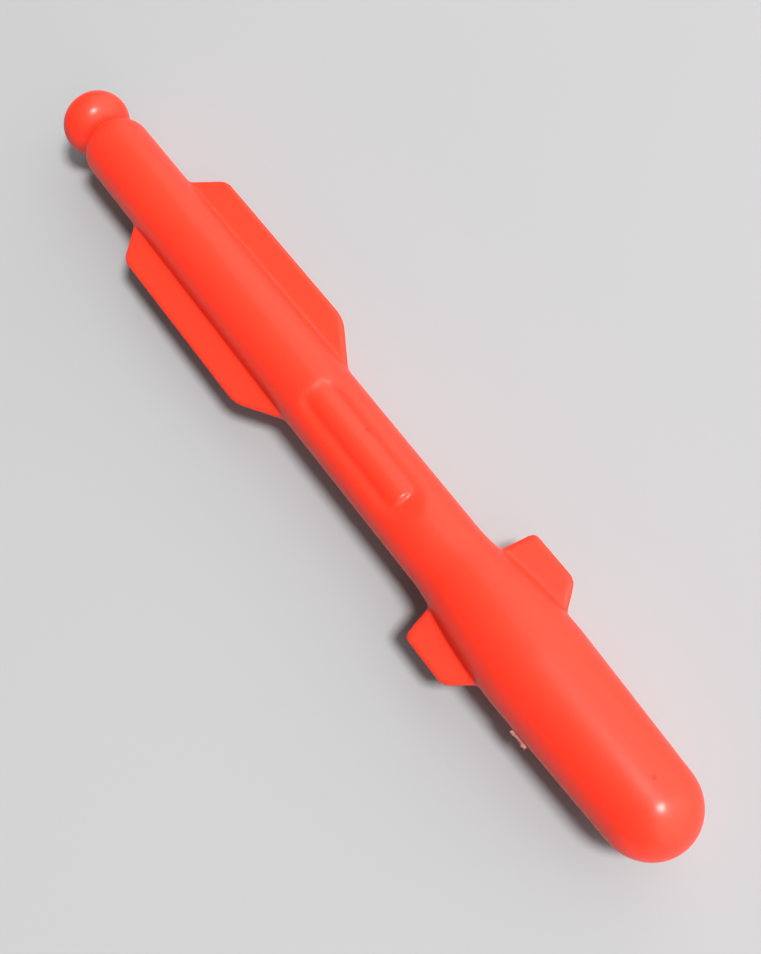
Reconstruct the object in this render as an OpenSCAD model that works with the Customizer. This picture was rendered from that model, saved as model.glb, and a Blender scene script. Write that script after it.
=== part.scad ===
// Toy missile for a spring launcher, a single plastic moulding that lies on its belly.
// The nose points along +X, the fins spread along Y and Z is up.
// The origin is on the ground, under the middle of the overall length.
// Stations are distances from the tail end, measured along the axis of the body.

/* [Overall] */
// Length from the flat end of the tail ball to the tip of the nose
overall_length = 108.9; // [104:0.1:125]

/* [Tail] */
// Radius of the round rim of the tail ball, half of the ball's length
ball_rim_r = 2.75; // [2.5:0.05:3]
// Radius of the flat end of the tail ball
ball_flat_r = 1.4; // [1:0.05:1.5]
// Radius of the shank, the stretch that fits a launcher
shank_r = 4.15; // [4.15:0.05:4.4]
// Rounding radius of the tail end of the shank
shank_round = 2.9; // [2.4:0.1:3.4]
// Radius at the bottom of the latch groove between ball and shank
groove_r = 1.95; // [1.7:0.05:2.4]
// Station where the shank ends and the rear body starts
shank_end = 17.9; // [14.9:0.5:17.9]

/* [Body] */
// Radius of the rear body at its nose end
rear_r = 4.4; // [4.2:0.05:4.8]
// Station where the rear body ends and the waist starts
rear_end = 50.9; // [50.4:0.1:51.4]
// Radius of the waist where the flare starts
waist_r = 4.33; // [4.2:0.01:4.5]
// Station where the waist ends and the fore body flares out
waist_end = 73.5; // [72.9:0.1:74.9]
// Largest radius of the fore body, at the end of its flare
fore_r = 5.65; // [5.2:0.05:6.2]
// Length of the flare
flare_length = 14.4; // [12:0.1:18]
// Radius of the hollow curve at the foot of the flare
flare_hollow_r = 15; // [5:1:30]
// Radius of the round nose
nose_r = 5.05; // [4.6:0.05:5.6]

/* [Fins] */
// Thickness of the wings and the canards
fin_thickness = 1.3; // [1:0.1:1.8]
// Distance from the axis to the tip edge of a wing
wing_reach = 7.7; // [6.5:0.1:9]
// Station where the tip edge of a wing starts
wing_tip_start = 21.3; // [21.3:0.1:24.9]
// Station where the tip edge of a wing ends
wing_tip_end = 44.9; // [38.9:0.1:44.9]
// Run along the body of a wing's tail edge for each unit of span
wing_tail_rake = 0.83; // [0.3:0.01:0.9]
// Run along the body of a wing's nose edge for each unit of span
wing_nose_rake = 1.62; // [0.5:0.01:1.7]
// Distance from the axis to the tip edge of a canard
canard_reach = 8.45; // [7:0.05:10]
// Station where the tip edge of a canard starts
canard_tip_start = 77.3; // [76.9:0.1:78.9]
// Station where the tip edge of a canard ends
canard_tip_end = 83.5; // [81.9:0.1:86.9]
// Run along the body of a canard's tail edge for each unit of span
canard_tail_rake = 0.19; // [0.1:0.01:0.4]
// Run along the body of a canard's nose edge for each unit of span
canard_nose_rake = 0.73; // [0.3:0.01:1]
// Rounding radius of the fins' corners
fin_corner_r = 0.8; // [0.3:0.1:1]

/* [Recess and rib] */
// Station of the square tail end of the recess
recess_start = 51.8; // [51.5:0.1:52.9]
// Station of the round nose end of the recess
recess_end = 69.1; // [68.1:0.1:70.9]
// Width of the recess
recess_width = 4.8; // [4.4:0.1:5.4]
// Depth of the recess below the top of the waist
recess_depth = 0.8; // [0.6:0.1:1.2]
// Radius of the rounded top of the rib
rib_r = 2; // [1.8:0.1:2.1]
// How far the rib's top stays below the top of the waist
rib_drop = 0.2; // [0.1:0.05:0.4]
// Station of the round nose end of the rib, on the floor of the recess
rib_end = 67.6; // [62.9:0.1:67.9]

/* [Gate stub] */
// Station of the middle of the gate stub
stub_station = 92.1; // [89.6:0.1:97.6]
// Length of the stub along the body
stub_length = 2.2; // [1:0.1:3]
// Height of the stub
stub_height = 0.7; // [0.5:0.1:1.2]
// How far the stub stands out of the side of the body
stub_proud = 0.4; // [0.2:0.05:0.6]

/* [Hidden] */
$fn = 96;

plastic = [0.98, 0.27, 0.18];
fin_plastic = [0.96, 0.31, 0.2];
stub_plastic = [0.95, 0.72, 0.66];

axis_height = fore_r;
ball_r = ball_flat_r + ball_rim_r;
groove_station = ball_rim_r + sqrt(pow(ball_rim_r, 2) - pow(groove_r - ball_flat_r, 2));
shank_round_rise = groove_r - (shank_r - shank_round);
shank_round_station = groove_station + sqrt(pow(shank_round, 2) - pow(shank_round_rise, 2));
flare_end = waist_end + flare_length;
flare_rise = fore_r - waist_r;
flare_angle = 2 * atan(flare_rise / flare_length);
flare_crown_r = flare_length / sin(flare_angle) - flare_hollow_r;
nose_station = overall_length - nose_r;
recess_floor = max(rear_r, waist_r) - recess_depth;
rib_centre_z = max(rear_r, waist_r) - rib_drop - rib_r;
rib_end_run = sqrt(pow(rib_r, 2) - pow(recess_floor - rib_centre_z, 2));
root_depth = 1.5;
corner_steps = 6;
hollow_steps = 6;
crown_steps = 14;
spare = 1;

// Moves a shape from stations along the axis to its place above the ground.
module placed() translate([-overall_length / 2, 0, axis_height]) children();

// Turns a profile of station against radius around the axis of the body.
module revolved() rotate([90, 0, 90]) rotate_extrude() rotate([0, 0, 90]) mirror([0, 1]) children();

// A solid of straight taper between two stations.
module taper(start, end, start_r, end_r) {
    translate([start, 0, 0]) rotate([0, 90, 0]) cylinder(h = end - start, r1 = start_r, r2 = end_r);
}

// Corner point i of an outline, replaced by the points of its rounding arc.
function rounded_corner(points, i, radius) =
    let (
        count = len(points),
        corner = points[i],
        before = points[(i + count - 1) % count] - corner,
        after = points[(i + 1) % count] - corner,
        to_before = before / norm(before),
        to_after = after / norm(after),
        half_angle = acos(to_before * to_after) / 2,
        bisector = (to_before + to_after) / norm(to_before + to_after),
        centre = corner + bisector * radius / sin(half_angle),
        first = corner + to_before * radius / tan(half_angle) - centre,
        last = corner + to_after * radius / tan(half_angle) - centre,
        turn = 180 - 2 * half_angle,
        side = sign(first[0] * last[1] - first[1] * last[0])
    )
    [for (step = [0:corner_steps])
        let (a = side * turn * step / corner_steps)
        centre + [first[0] * cos(a) - first[1] * sin(a), first[0] * sin(a) + first[1] * cos(a)]];

// Outline of a fin on the +Y side: the two root corners are inside the body, the tip corners are round.
function fin_outline(reach, root, tip_start, tip_end, tail_rake, nose_rake, radius) =
    let (corners = [
        [tip_start - (reach - root) * tail_rake, root],
        [tip_start, reach],
        [tip_end, reach],
        [tip_end + (reach - root) * nose_rake, root]
    ])
    concat([corners[0]], rounded_corner(corners, 1, radius), rounded_corner(corners, 2, radius),
           [corners[3]]);

module fin_plate(outline) {
    translate([0, 0, -fin_thickness / 2]) linear_extrude(fin_thickness) polygon(outline);
}

module rear_solid() taper(shank_end, rear_end, shank_r, rear_r);

module waist_solid() taper(rear_end, waist_end, rear_r, waist_r);

// The fore body's profile: hollow curve, crown curve and straight taper down to the nose.
function fore_outline() =
    let (
        hollow = [for (step = [0:hollow_steps])
            let (a = flare_angle * step / hollow_steps)
            [waist_end + flare_hollow_r * sin(a), waist_r + flare_hollow_r * (1 - cos(a))]],
        crown = [for (step = [1:crown_steps])
            let (a = flare_angle * (1 - step / crown_steps))
            [flare_end - flare_crown_r * sin(a), fore_r - flare_crown_r * (1 - cos(a))]]
    )
    concat([[waist_end, 0]], hollow, crown, [[nose_station, nose_r], [nose_station, 0]]);

module fore_solid() revolved() polygon(fore_outline());

// Wing on the +Y side, its root shaped to the rear body.
module wing() {
    outline = fin_outline(wing_reach, rear_r - root_depth, wing_tip_start, wing_tip_end,
                          wing_tail_rake, wing_nose_rake, fin_corner_r);
    difference() {
        fin_plate(outline);
        taper(shank_end - root_depth, shank_end, shank_r, shank_r);
        rear_solid();
        waist_solid();
    }
}

// Canard on the +Y side, its root shaped to the flare.
module canard() {
    outline = fin_outline(canard_reach, waist_r - root_depth, canard_tip_start, canard_tip_end,
                          canard_tail_rake, canard_nose_rake, fin_corner_r);
    difference() {
        fin_plate(outline);
        fore_solid();
    }
}

module tail_ball() color(plastic) placed() revolved() intersection() {
    union() {
        translate([ball_rim_r, ball_flat_r]) circle(ball_rim_r);
        square([2 * ball_rim_r, ball_flat_r]);
    }
    square([groove_station, ball_r]);
}

module tail_shank() color(plastic) placed() {
    revolved() {
        intersection() {
            translate([shank_round_station, shank_r - shank_round]) circle(shank_round);
            translate([groove_station, 0]) square([shank_round_station - groove_station, shank_r]);
        }
        translate([groove_station, 0])
            square([shank_round_station - groove_station, shank_r - shank_round]);
        translate([shank_round_station, 0]) square([shank_end - shank_round_station, shank_r]);
    }
}

module rear_body() color(plastic) placed() rear_solid();

module wing_left() color(fin_plastic) placed() wing();

module wing_right() color(fin_plastic) placed() mirror([0, 1, 0]) wing();

module waist() color(plastic) placed() difference() {
    waist_solid();
    translate([0, 0, recess_floor]) linear_extrude(recess_depth + spare) {
        translate([recess_start, -recess_width / 2])
            square([recess_end - recess_width / 2 - recess_start, recess_width]);
        translate([recess_end - recess_width / 2, 0]) circle(recess_width / 2);
    }
}

module waist_rib() color(plastic) placed() intersection() {
    translate([0, 0, rib_centre_z]) {
        taper(recess_start, rib_end - rib_end_run, rib_r, rib_r);
        translate([rib_end - rib_end_run, 0, 0]) sphere(rib_r);
    }
    translate([recess_start, -rib_r, recess_floor])
        cube([rib_end - recess_start + spare, 2 * rib_r, rib_r]);
}

module fore_body() color(plastic) placed() fore_solid();

module canard_left() color(fin_plastic) placed() canard();

module canard_right() color(fin_plastic) placed() mirror([0, 1, 0]) canard();

module nose_cap() color(plastic) placed() intersection() {
    translate([nose_station, 0, 0]) sphere(nose_r);
    taper(nose_station, overall_length + spare, nose_r + spare, nose_r + spare);
}

module gate_stub() color(stub_plastic) placed() difference() {
    translate([stub_station - stub_length / 2, -fore_r - stub_proud, -stub_height / 2])
        cube([stub_length, fore_r, stub_height]);
    fore_solid();
}

tail_ball();
tail_shank();
rear_body();
wing_left();
wing_right();
waist();
waist_rib();
fore_body();
canard_left();
canard_right();
nose_cap();
gate_stub();
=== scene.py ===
import math
import bpy
import numpy as np
from mathutils import Matrix, Vector, noise


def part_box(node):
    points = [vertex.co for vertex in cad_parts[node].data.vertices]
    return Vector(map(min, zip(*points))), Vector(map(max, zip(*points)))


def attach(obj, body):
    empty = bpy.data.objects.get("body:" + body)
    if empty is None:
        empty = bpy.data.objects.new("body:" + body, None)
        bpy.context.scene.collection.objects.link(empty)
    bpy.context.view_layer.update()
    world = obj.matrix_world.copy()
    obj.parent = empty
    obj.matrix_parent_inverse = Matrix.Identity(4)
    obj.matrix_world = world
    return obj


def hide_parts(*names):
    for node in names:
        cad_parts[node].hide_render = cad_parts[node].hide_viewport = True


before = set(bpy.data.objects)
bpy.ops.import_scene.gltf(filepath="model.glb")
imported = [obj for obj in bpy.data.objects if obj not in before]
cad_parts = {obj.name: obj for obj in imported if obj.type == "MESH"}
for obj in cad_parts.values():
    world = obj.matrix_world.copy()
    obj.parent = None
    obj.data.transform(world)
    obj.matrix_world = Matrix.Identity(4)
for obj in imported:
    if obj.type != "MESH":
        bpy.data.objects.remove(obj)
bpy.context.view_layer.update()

MM = 0.001
SKIN_NODES = ["tail_ball", "tail_shank", "rear_body", "wing_left", "wing_right", "waist", "waist_rib",
              "fore_body", "canard_left", "canard_right", "nose_cap"]


def box_mm(node):
    low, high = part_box(node)
    return np.array(low) / MM, np.array(high) / MM


# ---------------------------------------------------------------- sizes from the frame, millimetres
ball_low, ball_high = box_mm("tail_ball")
shank_low, shank_high = box_mm("tail_shank")
rear_low, rear_high = box_mm("rear_body")
rib_low, rib_high = box_mm("waist_rib")
fore_low, fore_high = box_mm("fore_body")
nose_low, nose_high = box_mm("nose_cap")
wing_low, wing_high = box_mm("wing_left")
canard_low, canard_high = box_mm("canard_left")
stub_low, stub_high = box_mm("gate_stub")

AXIS_Z = (fore_low[2] + fore_high[2]) / 2
BALL_R = (ball_high[2] - ball_low[2]) / 2
SHANK_R = (shank_high[2] - shank_low[2]) / 2
REAR_R = (rear_high[2] - rear_low[2]) / 2
FORE_R = (fore_high[2] - fore_low[2]) / 2
NOSE_R = (nose_high[2] - nose_low[2]) / 2
NOSE_X = nose_low[0]
FIN_HALF = (wing_high[2] - wing_low[2]) / 2

# ---------------------------------------------------------------- sizes of the moulding's own detail
WAIST_R = 4.33          # radius where the flare starts
FLARE_LENGTH = 14.4
FLARE_HOLLOW_R = 15.0   # hollow curve at the foot of the flare
BALL_RIM_R = 2.75       # rounding of the ball's rim, the rest of its radius is a flat end
BALL_X = ball_low[0] + BALL_RIM_R
SHANK_ROUND = 2.9       # rounding of the shank's tail end
GROOVE_DEPTH_R = 1.95   # radius at the bottom of the groove behind the ball
GROOVE_FILLET = 0.12
WING_RAKES = (0.83, 1.62)       # run along the body for each unit of span, tail edge and nose edge
CANARD_RAKES = (0.19, 0.73)
FIN_CORNER = 0.7
FIN_EDGE_ROUND = 0.55
FIN_DRAFT = 0.08        # thickness lost on each face for each unit of span
WING_FILLET = 0.4
CANARD_FILLET = 0.4
RECESS_HALF_WIDTH = 2.45
RECESS_FLOOR = 3.6      # height of the floor above the axis
RECESS_WALL_BLEND = 1.0
RECESS_END_GAP = 1.5    # from the rib's nose end to the recess's nose end
RECESS_TAIL_BLEND = 2.0
RECESS_RUN_OUT = 4.0    # length over which the floor rises to the nose end
RECESS_RISE = 0.85
RIB_R = 2.0
RIB_HALF_WIDTH = 1.5
RIB_EDGE = 0.4
RIB_FILLET = 0.3
RIB_FILLET_LEAD = 1.0   # the rib's fillet starts this far behind the rib

# ---------------------------------------------------------------- steps of the field and its mesh
PROFILE_STEP = 0.1
PROFILE_SPREAD = 8      # steps on each side over which the body's profile is smoothed
VOXEL = 0.22
MARGIN = 3 * VOXEL      # empty space around the body in the grid
PROBE = 0.02            # step for the field's slope
LEAST_SLOPE = 0.05      # squared, keeps a vertex from a long jump where the field is flat
SETTLE_ROUNDS = 3

# ---------------------------------------------------------------- looks
LIGHT_DISTANCE = 1.5    # metres
FLOOR_HALF = 2.0        # metres
SPECKS = ((4.3, 1.7, 3.6), (47.9, 1.8, 4.8))    # dark dots in the plastic, height from the axis
SPECK_R = 0.16
SPECK_FADE = 2.2        # radius at which a speck has faded out, in speck radii
SPECK_COLOUR = (0.5, 0.02, 0.012, 1)
PLASTIC_COLOURS = ((0.93, 0.036, 0.014, 1), (0.96, 0.041, 0.017, 1))
TORN_COLOURS = ((0.75, 0.15, 0.1, 1), (0.8, 0.48, 0.42, 1))
FLOOR_COLOURS = ((0.33, 0.33, 0.335, 1), (0.35, 0.35, 0.355, 1))
STUB_STEPS = (24, 8)    # along the stub and around it
STUB_MIDDLE = 0.68      # how far the stub's middle stands out, as a share of its ends
STUB_RAGGED = (0.85, 0.4)       # mean and swing of the torn edge
PLASTIC_GRAIN = 2600.0
PLASTIC_MOTTLE = 160.0
PLASTIC_ROUGHNESS = (0.46, 0.58)
TORN_GRAIN = 1800.0
FLOOR_CLOUD = 9.0
CAMERA_PLACE = (0.047784, -0.004239, 0.113906)      # metres
CAMERA_FORWARD = (-0.34488, 0.03504, -0.93799)
CAMERA_ROLL = -32.732   # degrees
CAMERA_LENS = 41.51     # millimetres, on a 36 mm sensor


# ---------------------------------------------------------------- distance field
def soft_min(a, b, width):
    """The smaller of two distances, with a fillet where they meet."""
    h = np.clip(0.5 + 0.5 * (b - a) / width, 0, 1)
    return b + (a - b) * h - width * h * (1 - h)


def soft_max(a, b, width):
    return -soft_min(-a, -b, width)


def body_radius(x):
    """Radius of the shank, rear body, waist, flare and fore body at x."""
    flare_start = fore_low[0]
    flare_end = flare_start + FLARE_LENGTH
    rise = FORE_R - WAIST_R
    angle = 2 * math.atan(rise / FLARE_LENGTH)
    crown_r = FLARE_LENGTH / math.sin(angle) - FLARE_HOLLOW_R
    turn = flare_start + FLARE_HOLLOW_R * math.sin(angle)
    straight = np.interp(x, [shank_high[0], rear_high[0], flare_start], [SHANK_R, REAR_R, WAIST_R])
    in_hollow = np.clip(x - flare_start, 0, FLARE_HOLLOW_R)
    hollow = WAIST_R + FLARE_HOLLOW_R - np.sqrt(FLARE_HOLLOW_R ** 2 - in_hollow ** 2)
    in_crown = np.clip(flare_end - x, 0, crown_r)
    crown = FORE_R - crown_r + np.sqrt(crown_r ** 2 - in_crown ** 2)
    taper = np.interp(x, [flare_end, NOSE_X], [FORE_R, NOSE_R])
    return np.where(x < flare_start, straight,
                    np.where(x < turn, hollow, np.where(x < flare_end, crown, taper)))


PROFILE_X = np.arange(ball_low[0], NOSE_X + 2, PROFILE_STEP)
PROFILE_SPAN = 2 * PROFILE_SPREAD + 1
PROFILE_R = np.convolve(np.pad(body_radius(PROFILE_X), PROFILE_SPREAD, mode="edge"),
                        np.full(PROFILE_SPAN, 1 / PROFILE_SPAN), mode="valid")


def revolved(x, rho):
    """Ball, groove, shank, rear body, waist, flare, fore body and nose, without fins."""
    side = rho - np.interp(x, PROFILE_X, PROFILE_R)
    flat = BALL_R - BALL_RIM_R
    groove_x = BALL_X + math.sqrt(BALL_RIM_R ** 2 - (GROOVE_DEPTH_R - flat) ** 2)
    rise = GROOVE_DEPTH_R - (SHANK_R - SHANK_ROUND)
    round_x = groove_x + math.sqrt(SHANK_ROUND ** 2 - rise ** 2)
    before = round_x - x
    above = side + SHANK_ROUND
    tube = np.hypot(np.maximum(before, 0), np.maximum(above, 0))
    tube = tube + np.minimum(np.maximum(before, above), 0) - SHANK_ROUND
    nose = np.hypot(x - NOSE_X, rho) - NOSE_R
    hull = np.where(x > NOSE_X, nose, tube)
    ball = np.hypot(x - BALL_X, np.maximum(rho - flat, 0)) - BALL_RIM_R
    return soft_min(hull, ball, GROOVE_FILLET)


def fin(x, y, z, low, high, root, rakes):
    """A pair of fins that thin towards their tips, with raked ends, round corners and round edges."""
    tail_rake, nose_rake = rakes
    span = np.abs(y)
    reach = high[1]
    tip_start = low[0] + (reach - root[0]) * tail_rake
    tip_end = high[0] - (reach - root[1]) * nose_rake
    tail_edge = (tip_start - (reach - span) * tail_rake - x) / math.hypot(1, tail_rake)
    nose_edge = (x - tip_end - (reach - span) * nose_rake) / math.hypot(1, nose_rake)
    outline = soft_max(soft_max(span - reach, tail_edge, FIN_CORNER), nose_edge, FIN_CORNER)
    face = np.abs(z) - FIN_HALF + FIN_DRAFT * np.maximum(span - REAR_R, 0)
    a = outline + FIN_EDGE_ROUND
    b = face + FIN_EDGE_ROUND
    return np.hypot(np.maximum(a, 0), np.maximum(b, 0)) + np.minimum(np.maximum(a, b), 0) - FIN_EDGE_ROUND


def recess(x, y, z):
    """The soft slot in the top of the waist: nearly square tail end, floor rising to a round nose end."""
    nose_end = rib_high[0] + RECESS_END_GAP
    across = np.hypot(np.maximum(x - nose_end + RECESS_HALF_WIDTH, 0), y) - RECESS_HALF_WIDTH
    plan = soft_max(across, rib_low[0] - x, RECESS_TAIL_BLEND)
    run = np.clip((x - nose_end) / RECESS_RUN_OUT + 1, 0, 1)
    return soft_max(plan, RECESS_FLOOR + RECESS_RISE * run ** 2 - z, RECESS_WALL_BLEND)


def rib(x, y, z):
    """The raised rib in the recess: round top, nearly square nose end."""
    crest = np.hypot(y, z - rib_high[2] + AXIS_Z + RIB_R) - RIB_R
    plan = soft_max(np.abs(y) - RIB_HALF_WIDTH, x - rib_high[0] + RIB_EDGE, 2 * RIB_EDGE)
    return soft_max(crest, plan, RIB_EDGE)


def missile(x, y, z):
    """Signed distance from the moulding's surface; z is measured from the axis."""
    skin = revolved(x, np.hypot(y, z))
    skin = soft_max(skin, -recess(x, y, z), RECESS_WALL_BLEND)
    near_rib = soft_min(skin, rib(x, y, z), RIB_FILLET)
    skin = np.where((x > rib_low[0] - RIB_FILLET_LEAD) & (z > 0), near_rib, skin)
    wings = fin(x, y, z, wing_low, wing_high, (wing_low[1], REAR_R), WING_RAKES)
    skin = soft_min(skin, wings, WING_FILLET)
    canards = fin(x, y, z, canard_low, canard_high, (canard_low[1], FORE_R), CANARD_RAKES)
    return soft_min(skin, canards, CANARD_FILLET)


def surface_net(field, low, high, step):
    """Closed quad mesh on the zero level of a field: one vertex in each cell that the surface crosses."""
    axes = [np.arange(a, b + step, step) for a, b in zip(low, high)]
    grid = np.meshgrid(*axes, indexing="ij")
    values = field(*grid)
    shape = np.array(values.shape)
    cells, points, rings, flips = [], [], [], []
    for axis in range(3):
        near = [slice(None)] * 3
        far = [slice(None)] * 3
        near[axis] = slice(0, -1)
        far[axis] = slice(1, None)
        a, b = values[tuple(near)], values[tuple(far)]
        index = np.argwhere((a < 0) != (b < 0))
        va, vb = a[tuple(index.T)], b[tuple(index.T)]
        point = index.astype(float)
        point[:, axis] += va / (va - vb)
        u, v = (axis + 1) % 3, (axis + 2) % 3
        ring = []
        for du, dv in ((0, 0), (-1, 0), (-1, -1), (0, -1)):
            cell = index.copy()
            cell[:, u] += du
            cell[:, v] += dv
            flat = np.ravel_multi_index(cell.T, shape)
            cells.append(flat)
            points.append(point)
            ring.append(flat)
        rings.append(np.stack(ring, 1))
        flips.append(va < 0)
    cells, points = np.concatenate(cells), np.concatenate(points)
    used, number = np.unique(cells, return_inverse=True)
    count = np.bincount(number)
    vertices = np.stack([np.bincount(number, points[:, k]) / count for k in range(3)], 1)
    vertices = vertices * step + np.array([a[0] for a in axes])
    quads = np.searchsorted(used, np.concatenate(rings))
    flip = np.concatenate(flips)
    quads[~flip] = quads[~flip][:, ::-1]
    return vertices, quads


def settle(field, points, rounds):
    """Moves points along the field's slope until they lie on its zero level."""
    for _ in range(rounds):
        value = field(*points.T)
        slope = np.stack([(field(*(points + d).T) - field(*(points - d).T)) / (2 * PROBE)
                          for d in np.eye(3) * PROBE], 1)
        length = np.maximum((slope ** 2).sum(1), LEAST_SLOPE)
        points = points - slope * (value / length)[:, None]
    return points


def mesh_object(name, vertices, faces, material):
    mesh = bpy.data.meshes.new(name)
    mesh.from_pydata([tuple(v) for v in vertices], [], [tuple(f) for f in faces])
    mesh.validate()
    mesh.polygons.foreach_set("use_smooth", [True] * len(mesh.polygons))
    mesh.materials.append(material)
    piece = bpy.data.objects.new(name, mesh)
    bpy.context.scene.collection.objects.link(piece)
    return piece


# ---------------------------------------------------------------- materials
def new_material(name):
    material = bpy.data.materials.new(name)
    material.use_nodes = True
    tree = material.node_tree
    return material, tree, tree.nodes["Principled BSDF"]


def noise_texture(tree, source, scale, detail):
    texture = tree.nodes.new("ShaderNodeTexNoise")
    texture.inputs["Scale"].default_value = scale
    texture.inputs["Detail"].default_value = detail
    tree.links.new(source, texture.inputs["Vector"])
    return texture


def add_speck(tree, place, spot, colour):
    """Darkens a colour around one spot, given in millimetres from the axis."""
    distance = tree.nodes.new("ShaderNodeVectorMath")
    distance.operation = "DISTANCE"
    distance.inputs[1].default_value = Vector((spot[0], spot[1], spot[2] + AXIS_Z)) * MM
    tree.links.new(place, distance.inputs[0])
    fade = tree.nodes.new("ShaderNodeMapRange")
    fade.inputs["From Min"].default_value = SPECK_R * MM
    fade.inputs["From Max"].default_value = SPECK_FADE * SPECK_R * MM
    tree.links.new(distance.outputs["Value"], fade.inputs["Value"])
    dotted = tree.nodes.new("ShaderNodeMix")
    dotted.data_type = "RGBA"
    dotted.inputs["A"].default_value = SPECK_COLOUR
    tree.links.new(fade.outputs["Result"], dotted.inputs["Factor"])
    tree.links.new(colour, dotted.inputs["B"])
    return dotted.outputs["Result"]


def moulded_plastic():
    material, tree, shader = new_material("moulded_plastic")
    place = tree.nodes.new("ShaderNodeTexCoord").outputs["Object"]
    mottle = noise_texture(tree, place, PLASTIC_MOTTLE, 3.0)
    tint = tree.nodes.new("ShaderNodeMix")
    tint.data_type = "RGBA"
    tint.inputs["A"].default_value = PLASTIC_COLOURS[0]
    tint.inputs["B"].default_value = PLASTIC_COLOURS[1]
    tree.links.new(mottle.outputs["Fac"], tint.inputs["Factor"])
    colour = tint.outputs["Result"]
    for spot in SPECKS:
        colour = add_speck(tree, place, spot, colour)
    tree.links.new(colour, shader.inputs["Base Color"])
    grain = noise_texture(tree, place, PLASTIC_GRAIN, 2.0)
    rough = tree.nodes.new("ShaderNodeMapRange")
    rough.inputs["To Min"].default_value = PLASTIC_ROUGHNESS[0]
    rough.inputs["To Max"].default_value = PLASTIC_ROUGHNESS[1]
    tree.links.new(grain.outputs["Fac"], rough.inputs["Value"])
    tree.links.new(rough.outputs["Result"], shader.inputs["Roughness"])
    bump = tree.nodes.new("ShaderNodeBump")
    bump.inputs["Distance"].default_value = 0.00002
    bump.inputs["Strength"].default_value = 0.9
    tree.links.new(grain.outputs["Fac"], bump.inputs["Height"])
    tree.links.new(bump.outputs["Normal"], shader.inputs["Normal"])
    shader.inputs["IOR"].default_value = 1.49
    shader.inputs["Specular IOR Level"].default_value = 0.15
    shader.inputs["Coat Weight"].default_value = 0.32
    shader.inputs["Coat Roughness"].default_value = 0.26
    shader.inputs["Subsurface Weight"].default_value = 0.15
    shader.inputs["Subsurface Radius"].default_value = (1.0, 0.2, 0.1)
    shader.inputs["Subsurface Scale"].default_value = 0.0008
    return material


def torn_plastic():
    material, tree, shader = new_material("torn_plastic")
    place = tree.nodes.new("ShaderNodeTexCoord").outputs["Object"]
    fibre = noise_texture(tree, place, TORN_GRAIN, 4.0)
    ramp = tree.nodes.new("ShaderNodeValToRGB")
    ramp.color_ramp.elements[0].position = 0.35
    ramp.color_ramp.elements[0].color = TORN_COLOURS[0]
    ramp.color_ramp.elements[1].position = 0.6
    ramp.color_ramp.elements[1].color = TORN_COLOURS[1]
    tree.links.new(fibre.outputs["Fac"], ramp.inputs["Fac"])
    tree.links.new(ramp.outputs["Color"], shader.inputs["Base Color"])
    shader.inputs["Roughness"].default_value = 0.6
    return material


def pale_floor():
    material, tree, shader = new_material("pale_floor")
    place = tree.nodes.new("ShaderNodeTexCoord").outputs["Object"]
    cloud = noise_texture(tree, place, FLOOR_CLOUD, 2.0)
    tint = tree.nodes.new("ShaderNodeMix")
    tint.data_type = "RGBA"
    tint.inputs["A"].default_value = FLOOR_COLOURS[0]
    tint.inputs["B"].default_value = FLOOR_COLOURS[1]
    tree.links.new(cloud.outputs["Fac"], tint.inputs["Factor"])
    tree.links.new(tint.outputs["Result"], shader.inputs["Base Color"])
    shader.inputs["Roughness"].default_value = 0.9
    return material


# ---------------------------------------------------------------- pieces
def make_skin(material):
    low = (ball_low[0] - MARGIN, -canard_high[1] - MARGIN, -FORE_R - MARGIN)
    high = (nose_high[0] + MARGIN, canard_high[1] + MARGIN, FORE_R + MARGIN)
    vertices, quads = surface_net(missile, low, high, VOXEL)
    vertices = settle(missile, vertices, SETTLE_ROUNDS)
    vertices[:, 2] += AXIS_Z
    skin = mesh_object("missile_moulding", vertices * MM, quads, material)
    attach(skin, "root")
    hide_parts(*SKIN_NODES)


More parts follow.
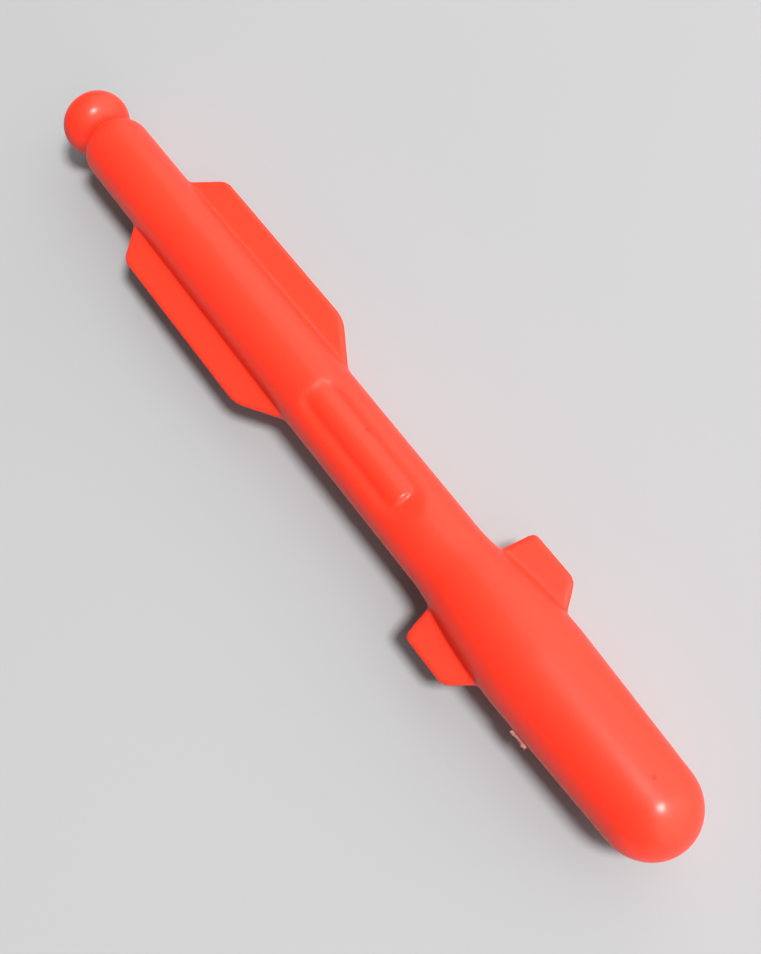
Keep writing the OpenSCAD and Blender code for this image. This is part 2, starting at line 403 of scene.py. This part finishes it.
def make_stub(material):
    """The torn end of the gate: a thin ragged ridge, standing further out at its two ends."""
    side, height = STUB_STEPS
    size = stub_high - stub_low
    inner = stub_high[1]
    vertices, faces = [], []
    for i in range(side + 1):
        along = i / side
        dip = STUB_MIDDLE + (1 - STUB_MIDDLE) * abs(2 * along - 1) ** 1.5
        for j in range(height + 1):
            turn = math.pi * j / height
            ragged = STUB_RAGGED[0] + STUB_RAGGED[1] * noise.noise(Vector((along * 7, j * 0.9, 3)))
            proud = size[1] * min(1.0, dip * ragged) * math.sin(turn)
            x = stub_low[0] + size[0] * (0.02 + 0.96 * along)
            z = stub_low[2] + size[2] * (0.5 - 0.47 * math.cos(turn))
            vertices.append((x, inner - proud, z))
    row = height + 1
    for i in range(side):
        for j in range(height):
            corner = i * row + j
            faces.append((corner + 1, corner + row + 1, corner + row, corner))
        faces.append((i * row, (i + 1) * row, (i + 1) * row + height, i * row + height))
    faces.append(tuple(range(row)))
    faces.append(tuple(side * row + j for j in reversed(range(row))))
    stub = mesh_object("gate_stub_torn", np.array(vertices) * MM, faces, material)
    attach(stub, "root")
    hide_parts("gate_stub")


def make_floor(material):
    corners = [(FLOOR_HALF * x, FLOOR_HALF * y, 0) for x, y in ((-1, -1), (1, -1), (1, 1), (-1, 1))]
    floor = mesh_object("floor", corners, [(0, 1, 2, 3)], material)


# ---------------------------------------------------------------- camera and lights
def make_camera():
    """Looks down over the nose; the missile runs from the upper left to the lower right."""
    place = Vector(CAMERA_PLACE)
    forward = Vector(CAMERA_FORWARD).normalized()
    roll = math.radians(CAMERA_ROLL)
    level = forward.cross(Vector((0, 0, 1))).normalized()
    up = level.cross(forward)
    right = level * math.cos(roll) + up * math.sin(roll)
    top = right.cross(forward)
    turn = Matrix((right, top, -forward)).transposed().to_4x4()
    data = bpy.data.cameras.new("camera")
    data.sensor_width = 36.0
    data.lens = CAMERA_LENS
    data.clip_start = 0.001
    camera = bpy.data.objects.new("camera", data)
    camera.matrix_world = Matrix.Translation(place) @ turn
    bpy.context.scene.collection.objects.link(camera)
    bpy.context.scene.camera = camera


def add_light(name, direction, size, power):
    data = bpy.data.lights.new(name, "AREA")
    data.shape = "DISK"
    data.size = size
    data.energy = power
    light = bpy.data.objects.new(name, data)
    way = Vector(direction).normalized()
    light.location = way * LIGHT_DISTANCE
    light.rotation_mode = "QUATERNION"
    light.rotation_quaternion = way.to_track_quat("Z", "Y")
    bpy.context.scene.collection.objects.link(light)


def make_lights():
    add_light("lamp", (0.361, 0.253, 0.898), 0.34, 31.0)
    add_light("window", (-0.05, 0.87, 0.5), 2.6, 26.0)
    add_light("front_softbox", (0.9, 0.3, 0.3), 2.6, 28.0)
    world = bpy.data.worlds.new("studio")
    world.use_nodes = True
    world.node_tree.nodes["Background"].inputs["Color"].default_value = (1, 1, 1, 1)
    world.node_tree.nodes["Background"].inputs["Strength"].default_value = 0.1
    bpy.context.scene.world = world
    bpy.context.scene.view_settings.view_transform = "Standard"


make_camera()
make_lights()
make_floor(pale_floor())
make_skin(moulded_plastic())
make_stub(torn_plastic())
